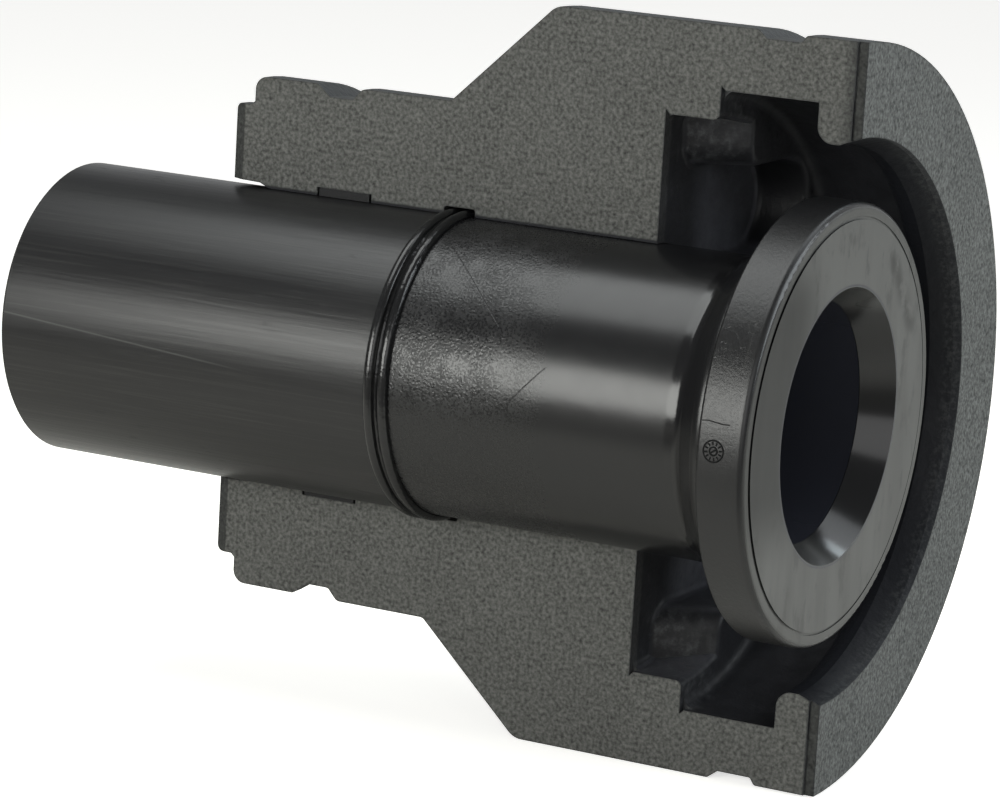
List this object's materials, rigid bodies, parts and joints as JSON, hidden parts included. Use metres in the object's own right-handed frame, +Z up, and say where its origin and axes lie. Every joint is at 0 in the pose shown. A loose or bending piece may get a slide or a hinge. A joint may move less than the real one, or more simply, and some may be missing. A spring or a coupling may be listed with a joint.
{
  "type": "insulated pipe flange collar",
  "caption": "Black plastic pipe spigot butt-welded to a stub flange collar, shown opened up with the rear half of its moulded foam insulation in place.",
  "frame": {"origin": "centre of the collar's sealing face, on the pipe axis", "axes": "+X along the pipe axis and out of the sealing face, +Z up, +Y into the half shell, so the opened side faces -Y"},
  "size_m": [0.32, 0.2144, 0.2708],
  "materials": {
    "pipe_plastic": "extruded black polyethylene, satin gloss",
    "collar_plastic": "injection-moulded black polyethylene with a lathe-turned face",
    "foam": "moulded grey bead foam with a fine speckle and a smooth dark skin in the cavity",
    "seal": "soft closed-cell foam rubber"
  },
  "bodies": {
    "root": {"spigot_pipe": "pipe_plastic", "flange_collar": "collar_plastic", "insulation_half_shell": "foam", "seal_strip": "seal"}
  },
  "joints": []
}
